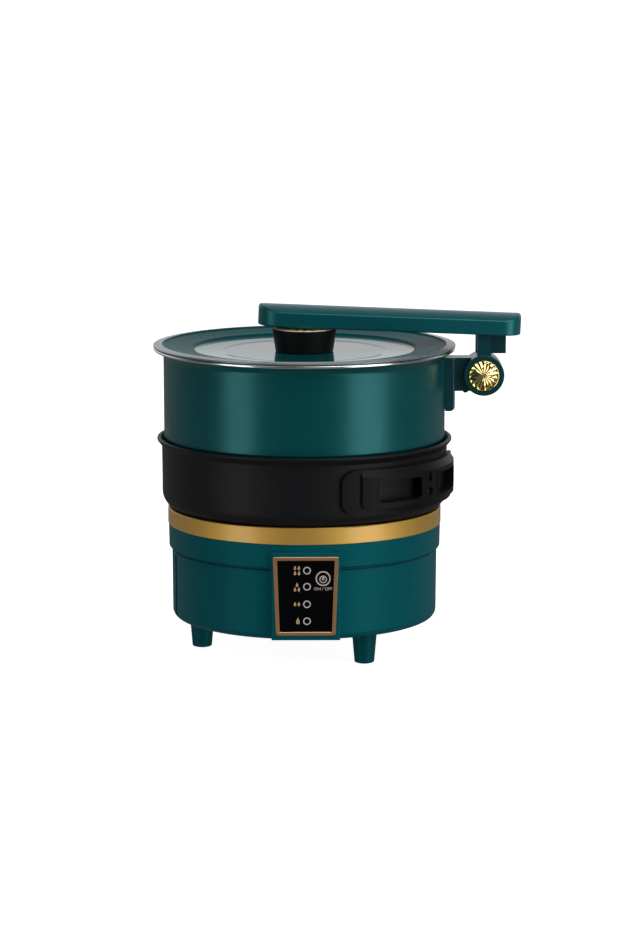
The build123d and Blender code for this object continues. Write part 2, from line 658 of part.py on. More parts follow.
def power_inlet():
    """An appliance socket, open towards +Y."""
    flange = inlet_block(INLET_WIDTH + 2 * INLET_FLANGE, INLET_HEIGHT + 2 * INLET_FLANGE,
                         INLET_FACE_Y - INLET_FLANGE_DEPTH, INLET_FACE_Y)
    flange = fillet(flange.edges().filter_by(Axis.Y), 2.5)
    body = flange + inlet_block(INLET_WIDTH, INLET_HEIGHT, INLET_FACE_Y - INLET_DEPTH, INLET_FACE_Y - 1)
    cavity = inlet_block(INLET_WIDTH - 2 * INLET_WALL, INLET_HEIGHT - 2 * INLET_WALL,
                         INLET_FACE_Y - INLET_DEPTH + 2.0, INLET_FACE_Y + 1)
    cavity = chamfer(cavity.edges().filter_by(Axis.Y).sort_by(Axis.Z)[-2:], 3.5)
    body -= cavity
    for place in inlet_pin_places():
        body -= place * Box(2.2, 30, 4.2)
    return body


def inlet_pin_places():
    spots = [(-7.0, INLET_Z - 2.0), (0.0, INLET_Z + 2.0), (7.0, INLET_Z - 2.0)]
    return [Pos(x, INLET_FACE_Y - INLET_DEPTH, z) for x, z in spots]


def inlet_pins():
    length = INLET_DEPTH - PIN_RECESS + PIN_TAIL
    pin = Pos(0, length / 2 - PIN_TAIL, 0) * Box(2.0, length, 4.0)
    return group([place * pin for place in inlet_pin_places()])


def power_board():
    return block((-36, 36), (-26, 26), (POWER_BOARD_LOW, POWER_BOARD_TOP))


def relay():
    z = POWER_BOARD_TOP
    return fillet(block((-30, -12), (2, 21), (z, z + 15)).edges().filter_by(Axis.Z), 0.8)


def transformer():
    z = POWER_BOARD_TOP
    core = block((0, 20), (-4, 18), (z, z + 6)) + block((4, 16), (-4, 18), (z, z + 16))
    return core + block((0, 20), (0, 14), (z + 2, z + 13))


def capacitors():
    z = POWER_BOARD_TOP
    places = [Pos(-24, -12, z + 6), Pos(-12, -14, z + 6), Pos(27, -14, z + 6)]
    return group([place * Cylinder(4.4, 12) for place in places])


# ---------------------------------------------------------------- pan
def pan_inner_radius(z):
    """Inside radius of the pan's straight wall."""
    return PAN_RADIUS - PAN_WALL + PAN_DRAFT * (z - PAN_LOW) / PAN_HEIGHT


def pan_body():
    flare_z = PAN_TOP - PAN_FLARE_HEIGHT
    lip_z = PAN_TOP - 0.4
    return turned(
        [
            (0, PAN_LOW),
            (PAN_RADIUS, PAN_LOW),
            (PAN_RADIUS + PAN_DRAFT, flare_z),
            (PAN_LIP_RADIUS, lip_z - PAN_LIP_BAND),
            (PAN_LIP_RADIUS, lip_z),
            (PAN_LIP_RADIUS - 2.4, PAN_TOP),
            (pan_inner_radius(flare_z), flare_z),
            (pan_inner_radius(PAN_INSIDE_Z), PAN_INSIDE_Z),
            (0, PAN_INSIDE_Z),
        ],
        [
            (1, PAN_FOOT_ROUND),
            (2, 2.0),
            (3, 0.6),
            (4, 0.6),
            (5, 0.6),
            (6, 2.0),
            (7, PAN_FOOT_ROUND - PAN_WALL),
        ],
    )


def ear_profile(half_span_deg, depth, end_depth):
    """Plan of one layer of the ear: the pan's wall inside, a flatter arc outside."""
    inner = EAR_INNER_RADIUS
    end = radians(half_span_deg)
    start_point = (inner * cos(end), -inner * sin(end))
    end_point = (inner * cos(end), inner * sin(end))
    outer_low = ((inner + end_depth) * cos(end), -(inner + end_depth) * sin(end))
    outer_high = ((inner + end_depth) * cos(end), (inner + end_depth) * sin(end))
    edges = [
        ThreePointArc(start_point, (inner, 0), end_point),
        Line(end_point, outer_high),
        ThreePointArc(outer_high, (inner + depth, 0), outer_low),
        Line(outer_low, start_point),
    ]
    return make_face(Curve() + edges)


def ear_layer(half_span_deg, depth, end_depth, low, round_radius, slope):
    """One curved layer of the ear, up to the ear's top. slope is its upper edge's (height, depth)."""
    height, cut = slope
    break_z = EAR_HIGH_Z - height
    straight = ear_profile(half_span_deg, depth, end_depth)
    layer = Pos(0, 0, low) * extrude(straight, break_z - low)
    top = Pos(0, 0, EAR_HIGH_Z) * ear_profile(half_span_deg, depth - cut, end_depth - cut)
    layer += loft([Pos(0, 0, break_z) * straight, top], ruled=True)
    half_chord = (EAR_INNER_RADIUS + end_depth) * sin(radians(half_span_deg))
    ends = Box(60, 2 * half_chord, EAR_HIGH_Z - low)
    ends = fillet(ends.edges().filter_by(Axis.X), round_radius)
    return layer & (Pos(PAN_RADIUS, 0, (low + EAR_HIGH_Z) / 2) * ends)


def ear_face(extra):
    """The thick middle layer with its sloping upper edge. extra makes it deeper, for the lips."""
    low = EAR_LOW_Z + EAR_FACE_RISE
    slope = (EAR_SLOPE_HEIGHT, EAR_SLOPE_DEPTH)
    depth, end_depth = EAR_DEPTH + extra, EAR_END_DEPTH + extra
    return ear_layer(EAR_FACE_HALF_SPAN_DEG, depth, end_depth, low, EAR_FACE_ROUND, slope)


def ear_window(side, margin):
    """A cutter for one finger window, along the radius at its middle. margin makes it larger all round."""
    place = Rot(0, 0, side * EAR_WINDOW_DEG) * Pos(PAN_RADIUS + 6, 0, EAR_WINDOW_Z)
    cutter = Box(30, EAR_WINDOW_WIDTH + 2 * margin, EAR_WINDOW_HEIGHT + 2 * margin)
    return place * fillet(cutter.edges().filter_by(Axis.X), 2.6 + margin)


def pan_handle():
    """A curved ear: thin plate, thick face with two lipped finger windows, and pockets between them."""
    depth = EAR_PLATE_DEPTH
    plate = ear_layer(EAR_PLATE_HALF_SPAN_DEG, depth, depth, EAR_LOW_Z, EAR_PLATE_ROUND, (0.8, 0.8))
    ear = plate + ear_face(0)
    lip = ear_face(EAR_LIP_PROUD)
    for side in (-1, 1):
        ear += lip & ear_window(side, EAR_LIP_WIDTH)
    for side in (-1, 1):
        ear -= ear_window(side, 0)
    seat = PAN_RADIUS + EAR_SCREW_SEAT
    slot = Pos(seat + 4, 0, EAR_WINDOW_Z + 5.8) * fillet(Box(8, 2.8, 6.4).edges().filter_by(Axis.X), 1.2)
    place = Pos(seat, 0, EAR_WINDOW_Z - EAR_SCREW_DROP) * Rot(0, 90, 0)
    pocket = place * ring(0, 2.9, 0, 10)
    hole = place * ring(0, SCREW_RADIUS + 0.1, -12, 1)
    return PAN_PLACE * (ear - slot - pocket - hole)


def pan_handle_screw():
    """Holds the ear to the pan."""
    place = Pos(PAN_RADIUS + EAR_SCREW_SEAT, 0, EAR_WINDOW_Z - EAR_SCREW_DROP) * Rot(0, 90, 0)
    return PAN_PLACE * place * screw(EAR_SCREW_SEAT - PAN_DRAFT - 0.2, head=2.3)


# ---------------------------------------------------------------- pot
def pot_body():
    """A deep pot that steps in to nest in the pan and flares out at its rim."""
    shoulder_z = PAN_TOP + 0.2
    flare_z = POT_RIM_Z - POT_FLARE_HEIGHT
    lip_inner = POT_RIM_RADIUS - POT_RIM_DEPTH
    lip_z = POT_RIM_Z - 0.5 * POT_RIM_HEIGHT
    half = POT_LIP_HALF
    body = turned(
        [
            (0, POT_LOW),
            (POT_NEST_RADIUS - POT_TAPER, POT_LOW),
            (POT_NEST_RADIUS, shoulder_z - 2.6),
            (POT_RADIUS - 0.2, shoulder_z),
            (POT_RADIUS, flare_z),
            (lip_inner - 1.2, lip_z - half),
            (lip_inner, lip_z - half),
            (lip_inner, lip_z + half),
            (lip_inner - 1.8, lip_z + half),
            (POT_RADIUS - POT_WALL, flare_z + 0.6),
            (POT_RADIUS - POT_WALL - 0.2, shoulder_z + 0.6),
            (POT_NEST_RADIUS - POT_WALL, shoulder_z - 2.0),
            (POT_NEST_RADIUS - POT_WALL - POT_TAPER, POT_INSIDE_Z),
            (0, POT_INSIDE_Z),
        ],
        [
            (1, POT_FOOT_ROUND),
            (2, 2.0),
            (3, 2.0),
            (4, 4.0),
            (9, 4.0),
            (12, POT_FOOT_ROUND - POT_WALL),
        ],
    )
    for place in rivet_places():
        body -= HINGE_FRAME * place * Rot(0, 90, 0) * Cylinder(SCREW_RADIUS, 14)
    return body


def pot_rim():
    inner = POT_RIM_RADIUS - POT_RIM_DEPTH
    return turned(
        [
            (inner, POT_RIM_LOW),
            (POT_RIM_RADIUS, POT_RIM_LOW),
            (POT_RIM_RADIUS, POT_RIM_Z),
            (inner, POT_RIM_Z),
        ],
        [(1, POT_RIM_ROUND), (2, POT_RIM_ROUND)],
    )


def rivet_places():
    """On the pot's wall behind the bracket, in the hinge's frame."""
    heights = (BRACKET_PLATE_LOW + 7, ARM_HIGH - 9)
    return [Pos(POT_RADIUS - HINGE_RADIUS, 0, z) for z in heights]


def hinge_bracket():
    """Plate on the pot's wall, arm and centre knuckle in one moulding, in the hinge's frame."""
    back = POT_RADIUS - HINGE_RADIUS
    half = BRACKET_PLATE_WIDTH / 2
    knuckle = KNUCKLE_HALF_LENGTH
    plate = block((back - 4, back + BRACKET_PLATE_DEPTH), (-half, half), (BRACKET_PLATE_LOW, ARM_HIGH))
    corners = plate.edges().filter_by(Axis.Y).group_by(Axis.X)[-1]
    plate = fillet(corners.sort_by(Axis.Z)[0], 3.5)
    plate = fillet(plate.edges().filter_by(Axis.Z).group_by(Axis.X)[-1], 1.6)
    arm = block((back + 2, -BARREL_RADIUS * 0.6), (-knuckle, knuckle), (ARM_LOW, ARM_HIGH))
    body = plate + arm + rod_y(BARREL_RADIUS, 0, 0, -knuckle, knuckle)
    body -= Pos(-HINGE_RADIUS, 0, 0) * ring(0, POT_RADIUS + SLIP, -80, 80)
    body -= rod_y(PIN_RADIUS + PIN_CLEARANCE, 0, 0, -20, 20)
    for place in rivet_places():
        body -= place * Rot(0, 90, 0) * Cylinder(SCREW_RADIUS, 14)
    stop = Pos(STOP_X, 0, ARM_LOW) * Cylinder(STOP_RADIUS + 0.05, 7)
    return HINGE_FRAME * (body - stop)


def bracket_rivets():
    """Rivets from inside the pot into the bracket, with low domed heads."""
    rivet = ring(0, 4.0, 0, 1.6)
    rivet = fillet(rivet.edges().sort_by(Axis.Z)[-1], 1.2)
    rivet += ring(0, SCREW_RADIUS, -6.5, 0.5)
    inward = Pos(-POT_WALL - 0.3, 0, 0) * Rot(0, -90, 0)
    return group([HINGE_FRAME * place * inward * rivet for place in rivet_places()])


def hinge_stop():
    """A rubber stop under the arm."""
    low = ARM_LOW - STOP_PROUD
    stop = Pos(STOP_X, 0, (low + ARM_LOW + 3) / 2) * Cylinder(STOP_RADIUS, 3 + STOP_PROUD)
    return HINGE_FRAME * fillet(stop.edges().sort_by(Axis.Z)[0], 0.4)


# ---------------------------------------------------------------- folding handle
def bar_plan(inset, hinge_inset=None):
    """Plan outline of the bar: half-round free end, rounded corners at the hinge end."""
    hinge_inset = inset if hinge_inset is None else hinge_inset
    half = BAR_WIDTH / 2 - inset
    low, high = BAR_FREE_END + inset, BAR_HINGE_END - hinge_inset
    points = [(low, -half), (high, -half), (high, half), (low, half)]
    corner = BAR_CORNER - inset
    return outline(points, [(0, half - 0.05), (3, half - 0.05), (1, corner), (2, corner)])


def bar_section(inset):
    """Cross-section of the bar: straight sides and a crowned top."""
    half = BAR_WIDTH / 2 - inset
    side, crown = BAR_SIDE_HEIGHT - inset * 0.6, BAR_SIDE_HEIGHT + BAR_CROWN - inset
    edges = [
        Line((-half, 0), (half, 0)),
        Line((half, 0), (half, side)),
        ThreePointArc((half, side), (0, crown), (-half, side)),
        Line((-half, side), (-half, 0)),
    ]
    return Plane.YZ * make_face(Curve() + edges)


def bar_solid(inset, hinge_inset=None):
    length = BAR_HINGE_END - BAR_FREE_END + 20
    run = Pos(BAR_FREE_END - 10, 0, 0) * extrude(bar_section(inset), length)
    return run & extrude(bar_plan(inset, hinge_inset), 30)


def bar_screw_places():
    return [Pos(x, 0, 0) for x in (BAR_FREE_END + 14, BAR_FREE_END / 2, BAR_HINGE_END - 46)]


def handle_shell():
    """The bar's upper shell, open below, with a boss for each screw."""
    outer = soften(bar_solid(0))
    shell = outer - bar_solid(BAR_WALL)
    for place in bar_screw_places():
        boss = place * ring(0, 4.2, BAR_COVER_THICKNESS, BAR_SIDE_HEIGHT + BAR_CROWN)
        shell += boss & outer
        shell -= place * ring(0, SCREW_RADIUS, 0, BAR_SIDE_HEIGHT - 2)
    return BAR_FRAME * shell


def soften(solid):
    """Round the edges where the bar's sides meet its crown and its underside."""
    top = [e for e in solid.edges() if e.center().Z > BAR_SIDE_HEIGHT - 0.5]
    solid = fillet(top, BAR_CROWN_ROUND)
    low = [e for e in solid.edges() if e.center().Z < 0.1]
    return fillet(low, BAR_LOW_ROUND)


def handle_cover():
    """The bar's flat underside, set in flush."""
    cover = extrude(bar_plan(BAR_WALL + SLIP), BAR_COVER_THICKNESS)
    for place in bar_screw_places():
        cover -= place * ring(0, SCREW_HEAD_RADIUS + SLIP, -1, 1.4)
        cover -= place * ring(0, SCREW_RADIUS + 0.1, 0, 5)
    return BAR_FRAME * cover


def handle_screws():
    flat = [place * Pos(0, 0, 1.4) * Rot(180, 0, 0) * bar_screw() for place in bar_screw_places()]
    return group([BAR_FRAME * s for s in flat])


def bar_screw():
    """A low-headed screw, short enough to stay in its boss."""
    head = ring(0, SCREW_HEAD_RADIUS, 0, 1.1) - Pos(0, 0, 1.1) * Box(3.4, 0.8, 0.8)
    return head + ring(0, SCREW_RADIUS - 0.02, -6, 0)


def handle_core():
    """A steel strip inside the bar, bolted to the fork."""
    low, high = BAR_FREE_END / 2 + 8, BAR_HINGE_END - 6
    strip = block((low, high), (-9, -5.2), (BAR_COVER_THICKNESS, BAR_SIDE_HEIGHT - 1.5))
    strip += block((low, high), (5.2, 9), (BAR_COVER_THICKNESS, BAR_SIDE_HEIGHT - 1.5))
    cross = block((BAR_HINGE_END - 14, high), (-9, 9), (BAR_COVER_THICKNESS, BAR_SIDE_HEIGHT - 1.5))
    return BAR_FRAME * (strip + cross)


def fork_top():
    """A cutter for everything above the bar's underside, in the hinge's frame."""
    return Rot(0, BAR_TILT_DEG, 0) * Pos(0, 0, BAR_LIFT) * block((-60, 60), (-40, 40), (0, 60))


def handle_fork():
    """Two ears on the pin, stems up to the bar and the lug between them."""
    half_stem = STEM_WIDTH / 2
    high = BAR_LIFT + 6
    body = None
    for side in (-1, 1):
        y = sorted((side * EAR_INNER, side * BARREL_HALF_LENGTH))
        ear = rod_y(BARREL_RADIUS, 0, 0, *y)
        ear = fillet(ear.edges().filter_by(GeomType.CIRCLE).sort_by(Axis.Y)[0 if side < 0 else -1], 0.8)
        ear += block((-half_stem, half_stem), (y[0] + 0.3, y[1] - 0.3), (0, high))
        seat = sorted((side * (BARREL_HALF_LENGTH - CAP_THICKNESS + CAP_PROUD), side * 30))
        ear -= rod_y(CAP_RADIUS + SLIP, 0, 0, *seat)
        body = ear if body is None else body + ear
    lug_low = BARREL_RADIUS + LUG_CLEARANCE
    body += block((-half_stem + 0.5, LUG_REACH), (-EAR_INNER - 1.5, EAR_INNER + 1.5), (lug_low, high))
    body -= rod_y(PIN_RADIUS, 0, 0, -20, 20)
    return HINGE_FRAME * (body - fork_top())


def hinge_pin():
    end = BARREL_HALF_LENGTH - CAP_THICKNESS + 0.3
    return HINGE_FRAME * rod_y(PIN_RADIUS, 0, 0, -end, end)


def hinge_washers():
    washer = rod_y(8.0, 0, 0, 0, WASHER_THICKNESS) - rod_y(PIN_RADIUS + PIN_CLEARANCE, 0, 0, -1, 1)
    spots = (-EAR_INNER, EAR_INNER - WASHER_THICKNESS)
    return group([HINGE_FRAME * Pos(0, y, 0) * washer for y in spots])


def hinge_caps():
    """Fluted sunburst caps in the outer faces of the two ears."""
    cap = sunburst(CAP_RADIUS, CAP_THICKNESS, CAP_RAYS)
    depth = BARREL_HALF_LENGTH - CAP_THICKNESS + CAP_PROUD
    return group([HINGE_FRAME * Pos(0, side * depth, 0) * Rot(-side * 90, 0, 0) * cap for side in (-1, 1)])


# ---------------------------------------------------------------- lid
def lid_plate():
    """The stepped, sunken sheet of the lid."""
    t = LID_SHEET
    top = [
        (0, LID_CENTRE_Z),
        (LID_STEP_RADIUS - 1.2, LID_CENTRE_Z),
        (LID_STEP_RADIUS + 1.2, LID_DISC_Z),
        (LID_CONE_INNER, LID_DISC_Z),
        (LID_CONE_OUTER, LID_DISC_Z + LID_CONE_DROP),
        (LID_RIM_INNER - 0.9, LID_LEDGE_Z),
        (LID_RIM_INNER, LID_RIM_TOP - 0.3),
    ]
    under = [
        (LID_RIM_INNER, LID_RIM_LOW),
        (LID_RIM_INNER - 1.7, LID_LEDGE_Z - t),
        (LID_CONE_OUTER + 0.1, LID_DISC_Z + LID_CONE_DROP - t),
        (LID_CONE_INNER + 0.1, LID_DISC_Z - t),
        (LID_STEP_RADIUS + 1.3, LID_DISC_Z - t),
        (LID_STEP_RADIUS - 1.1, LID_CENTRE_Z - t),
        (0, LID_CENTRE_Z - t),
    ]
    sheet = turned(top + under, [(1, 1.0), (2, 1.0), (3, 2.0), (4, 3.0), (10, 2.0), (9, 3.0)])
    return sheet - ring(0, SCREW_RADIUS + 0.6, LID_CENTRE_Z - 5, LID_CENTRE_Z + 5)


def lid_rim():
    points = [
        (LID_RIM_INNER, LID_RIM_LOW),
        (LID_RIM_OUTER, LID_RIM_LOW),
        (LID_RIM_OUTER, LID_RIM_TOP),
        (LID_RIM_INNER, LID_RIM_TOP),
    ]
    return turned(points, [(1, 0.85), (2, 0.85), (3, 0.4)])


def knob():
    """A round grip that widens upwards, with a hollow underside, a screw boss and a seat for the cap."""
    z = LID_CENTRE_Z
    seat = KNOB_TOP - KNOB_CAP_THICKNESS + KNOB_CAP_PROUD
    return turned(
        [
            (KNOB_BASE_RADIUS - 2.5, z),
            (KNOB_BASE_RADIUS, z),
            (KNOB_TOP_RADIUS, KNOB_TOP),
            (KNOB_TOP_RADIUS - KNOB_LIP, KNOB_TOP),
            (KNOB_TOP_RADIUS - KNOB_LIP, seat),
            (SCREW_RADIUS, seat),
            (SCREW_RADIUS, z),
            (6, z),
            (6, seat - 3),
            (KNOB_BASE_RADIUS - 2.5, seat - 3),
        ],
        [(1, KNOB_FOOT_ROUND), (2, 0.4)],
    )


def knob_cap():
    cap = sunburst(KNOB_TOP_RADIUS - KNOB_LIP - SLIP, KNOB_CAP_THICKNESS, KNOB_CAP_RAYS)
    return Pos(0, 0, KNOB_TOP - KNOB_CAP_THICKNESS + KNOB_CAP_PROUD) * cap


def knob_screw():
    return Pos(0, 0, LID_CENTRE_Z - LID_SHEET) * Rot(180, 0, 0) * screw(KNOB_HEIGHT * 0.6, head=4.5)


# ---------------------------------------------------------------- one STEP per node
PIECES = {
    "base_housing": base_housing,
    "gold_band": gold_band,
    "deck_ring": deck_ring,
    "hotplate": hotplate,
    "heating_element": heating_element,
    "plate_posts": plate_posts,
    "heat_shield": heat_shield,
    "sensor_holder": sensor_holder,
    "sensor_cap": sensor_cap,
    "sensor_spring": sensor_spring,
    "thermal_fuse": thermal_fuse,
    "panel_frame": panel_frame,
    "panel_lens": panel_lens,
    "control_board": control_board,
    "indicator_leds": indicator_leds,
    "key_switch": key_switch,
    "power_key": power_key,
    "power_board": power_board,
    "relay": relay,
    "transformer": transformer,
    "capacitors": capacitors,
    "power_inlet": power_inlet,
    "inlet_pins": inlet_pins,
    "bottom_cover": bottom_cover,
    "cover_screws": cover_screws,
    "feet": feet,
    "foot_pads": foot_pads,
    "foot_screws": foot_screws,
    "pan_body": pan_body,
    "pan_handle": pan_handle,
    "pan_handle_screw": pan_handle_screw,
    "pot_body": pot_body,
    "pot_rim": pot_rim,
    "hinge_bracket": hinge_bracket,
    "bracket_rivets": bracket_rivets,
    "hinge_stop": hinge_stop,
    "handle_shell": handle_shell,
    "handle_cover": handle_cover,
    "handle_core": handle_core,
    "handle_screws": handle_screws,
    "handle_fork": handle_fork,
    "hinge_pin": hinge_pin,
    "hinge_washers": hinge_washers,
    "hinge_caps": hinge_caps,
    "lid_plate": lid_plate,
    "lid_rim": lid_rim,
    "knob": knob,
    "knob_cap": knob_cap,
    "knob_screw": knob_screw,
}

os.makedirs("parts", exist_ok=True)
for node, make in PIECES.items():
    export_step(make(), f"parts/{node}.step")
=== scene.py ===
"""Looks of the electric hot pot: materials, turned lid sheet and rims, panel prints, studio and camera.

Metres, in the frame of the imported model: +Z up, the control panel faces -Y.
"""

import json
import math

import bpy
from mathutils import Matrix, Vector

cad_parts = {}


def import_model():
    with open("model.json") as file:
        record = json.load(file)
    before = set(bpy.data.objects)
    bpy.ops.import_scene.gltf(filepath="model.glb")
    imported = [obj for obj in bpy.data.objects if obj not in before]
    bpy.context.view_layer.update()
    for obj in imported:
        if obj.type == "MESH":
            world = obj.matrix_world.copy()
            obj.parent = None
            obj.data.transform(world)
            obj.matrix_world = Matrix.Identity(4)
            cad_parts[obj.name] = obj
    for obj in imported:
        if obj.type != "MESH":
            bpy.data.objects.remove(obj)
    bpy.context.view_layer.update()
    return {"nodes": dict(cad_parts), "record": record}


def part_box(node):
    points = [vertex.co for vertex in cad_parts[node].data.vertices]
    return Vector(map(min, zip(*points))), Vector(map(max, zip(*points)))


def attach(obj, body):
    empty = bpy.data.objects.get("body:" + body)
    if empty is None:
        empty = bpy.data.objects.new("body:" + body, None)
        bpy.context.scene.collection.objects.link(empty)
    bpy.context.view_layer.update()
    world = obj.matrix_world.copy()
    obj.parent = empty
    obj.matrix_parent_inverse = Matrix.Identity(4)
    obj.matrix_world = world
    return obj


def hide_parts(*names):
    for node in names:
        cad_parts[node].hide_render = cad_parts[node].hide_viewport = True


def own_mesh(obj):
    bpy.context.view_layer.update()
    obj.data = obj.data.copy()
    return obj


MM = 0.001
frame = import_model()
nodes = frame["nodes"]
scene = bpy.context.scene


# ---------------------------------------------------------------- node helpers
NOISE_SPAN = (0.3, 0.7)  # where nearly all values of a noise texture lie


def srgb(red, green, blue):
    """A linear colour from 0..255 display values."""

    def linear(value):
        value /= 255
        return value / 12.92 if value <= 0.04045 else ((value + 0.055) / 1.055) ** 2.4

    return (linear(red), linear(green), linear(blue), 1.0)


def shade(colour, factor):
    """A darker or lighter shade of a colour."""
    return tuple(channel * factor for channel in colour[:3]) + (1.0,)


class Shader:
    """A node material built around one Principled shader."""

    def __init__(self, name):
        self.material = bpy.data.materials.new(name)
        self.material.use_nodes = True
        self.tree = self.material.node_tree
        self.bsdf = self.tree.nodes["Principled BSDF"]

    def node(self, kind, **attributes):
        made = self.tree.nodes.new(kind)
        for key, value in attributes.items():
            setattr(made, key, value)
        return made

    def link(self, source, target):
        self.tree.links.new(source, target)

    def set(self, **values):
        """Sets the shader's own sockets; a socket's spaces are underscores here."""
        for key, value in values.items():
            self.bsdf.inputs[key.replace("_", " ")].default_value = value

    def place(self, scale=(1, 1, 1)):
        """Object coordinates, scaled."""
        coordinates = self.node("ShaderNodeTexCoord")
        mapping = self.node("ShaderNodeMapping")
        mapping.inputs["Scale"].default_value = scale
        self.link(coordinates.outputs["Object"], mapping.inputs["Vector"])
        return mapping.outputs["Vector"]

    def noise(self, size, detail=3.0, stretch=(1, 1, 1), roughness=0.5):
        """Noise whose features are about that many metres wide."""
        made = self.node("ShaderNodeTexNoise")
        made.inputs["Scale"].default_value = 1 / size
        made.inputs["Detail"].default_value = detail
        made.inputs["Roughness"].default_value = roughness
        self.link(self.place(stretch), made.inputs["Vector"])
        return made.outputs["Fac"]

    def spread(self, source, low, high):
        """Maps noise onto low..high."""
        made = self.node("ShaderNodeMapRange")
        start, end = NOISE_SPAN
        for key, value in (("From Min", start), ("From Max", end), ("To Min", low), ("To Max", high)):
            made.inputs[key].default_value = value
        self.link(source, made.inputs["Value"])
        return made.outputs["Result"]

    def tint(self, source, colours, places=None):
        """A colour ramp over a factor."""
        made = self.node("ShaderNodeValToRGB")
        ramp = made.color_ramp
        places = places or [k / (len(colours) - 1) for k in range(len(colours))]
        while len(ramp.elements) < len(colours):
            ramp.elements.new(0.5)
        for element, place, colour in zip(ramp.elements, places, colours):
            element.position = place
            element.color = colour
        self.link(source, made.inputs["Fac"])
        return made.outputs["Color"]

    def bump(self, source, depth, strength=1.0):
        """Bump of about that depth in metres."""
        made = self.node("ShaderNodeBump")
        made.inputs["Strength"].default_value = strength
        made.inputs["Distance"].default_value = depth
        self.link(source, made.inputs["Height"])
        self.link(made.outputs["Normal"], self.bsdf.inputs["Normal"])


# ---------------------------------------------------------------- kinds of surface
MOTTLE_SIZE = 0.03
MOTTLE_DARK, MOTTLE_LIGHT = 0.92, 1.08
GRAIN_STRENGTH = 0.35
SCRATCH_SIZE = 0.0012
SCRATCH_DARK, SCRATCH_LIGHT = 0.9, 1.05
SCRATCH_STRENGTH = 0.3
LACQUER_ROUGHNESS = 0.2


def moulded(name, colour, roughness, grain=0.0008, depth=0.00002, spread=0.06, gloss=0.5, glint=(1, 1, 1, 1)):
    """Moulded plastic or paint: slight mottling, uneven gloss, a fine grain. glint tints its highlights."""
    made = Shader(name)
    made.set(Specular_IOR_Level=gloss, Specular_Tint=glint)
    patches = made.noise(MOTTLE_SIZE, detail=4)
    colours = [shade(colour, MOTTLE_DARK), colour, shade(colour, MOTTLE_LIGHT)]
    made.link(made.tint(patches, colours), made.bsdf.inputs["Base Color"])
    uneven = made.spread(patches, roughness - spread / 2, roughness + spread / 2)
    made.link(uneven, made.bsdf.inputs["Roughness"])
    made.bump(made.noise(grain, detail=2), depth, GRAIN_STRENGTH)
    return made


def metal(name, colour, roughness, stretch=(1, 1, 1), depth=0.00001, spread=0.08, coat=0.0):
    """Metal with a lay of fine scratches, lacquered where coat is above 0."""
    made = Shader(name)
    made.set(Metallic=1.0, Coat_Weight=coat, Coat_Roughness=LACQUER_ROUGHNESS)
    lay = made.noise(SCRATCH_SIZE, detail=5, stretch=stretch, roughness=0.7)
    colours = [shade(colour, SCRATCH_DARK), colour, shade(colour, SCRATCH_LIGHT)]
    made.link(made.tint(lay, colours), made.bsdf.inputs["Base Color"])
    uneven = made.spread(lay, roughness - spread / 2, roughness + spread / 2)
    made.link(uneven, made.bsdf.inputs["Roughness"])
    made.bump(lay, depth, SCRATCH_STRENGTH)
    return made


PEBBLE_SIZE, PEBBLE_DEPTH, PEBBLE_STRENGTH = 0.0011, 0.0001, 0.5
PEBBLE_DARK, PEBBLE_LIGHT = srgb(16, 17, 18), srgb(25, 26, 28)
FLECK_SIZE = 0.0007
FLECK = srgb(38, 39, 41)
FLECK_PLACES = (0.0, 0.66, 0.8)  # nothing up to the second, so that only the noise's peaks are flecks
BLACK = srgb(0, 0, 0)


def stone_coating():
    """Dark grey sprayed coating with a fine pebbled surface and pale flecks."""
    made = Shader("stone_coating")
    pebbles = made.noise(PEBBLE_SIZE, detail=3, roughness=0.6)
    flecks = made.noise(FLECK_SIZE, detail=1)
    base = made.tint(pebbles, [PEBBLE_DARK, PEBBLE_LIGHT])
    pale = made.tint(flecks, [BLACK, BLACK, FLECK], FLECK_PLACES)
    mix = made.node("ShaderNodeMix", data_type="RGBA", blend_type="ADD")
    mix.inputs["Factor"].default_value = 1.0
    made.link(base, mix.inputs["A"])
    made.link(pale, mix.inputs["B"])
    made.link(mix.outputs["Result"], made.bsdf.inputs["Base Color"])
    made.set(Roughness=0.45, Specular_IOR_Level=0.14)
    made.bump(pebbles, PEBBLE_DEPTH, PEBBLE_STRENGTH)
    return made


def polished_cap(name, node, colour, roughness, doming):
    """Polished metal of the fluted caps on an axis along Y; doming is the slope at a cap's edge."""
    made = metal(name, colour, roughness, depth=0.000001)
    low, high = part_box(node)
    radius = (high.x - low.x) / 2
    from_axis = made.node("ShaderNodeVectorMath", operation="SUBTRACT")
    made.link(made.place(), from_axis.inputs[0])
    from_axis.inputs[1].default_value = ((low.x + high.x) / 2, 0, (low.z + high.z) / 2)
    flat = made.node("ShaderNodeVectorMath", operation="MULTIPLY")
    made.link(from_axis.outputs["Vector"], flat.inputs[0])
    flat.inputs[1].default_value = (1, 0, 1)
    square = made.node("ShaderNodeVectorMath", operation="DOT_PRODUCT")
    made.link(flat.outputs["Vector"], square.inputs[0])
    made.link(flat.outputs["Vector"], square.inputs[1])
    dome = made.node("ShaderNodeMath", operation="MULTIPLY")
    made.link(square.outputs["Value"], dome.inputs[0])
    dome.inputs[1].default_value = -doming / (2 * radius)
    made.bump(dome.outputs["Value"], 1.0)
    return made


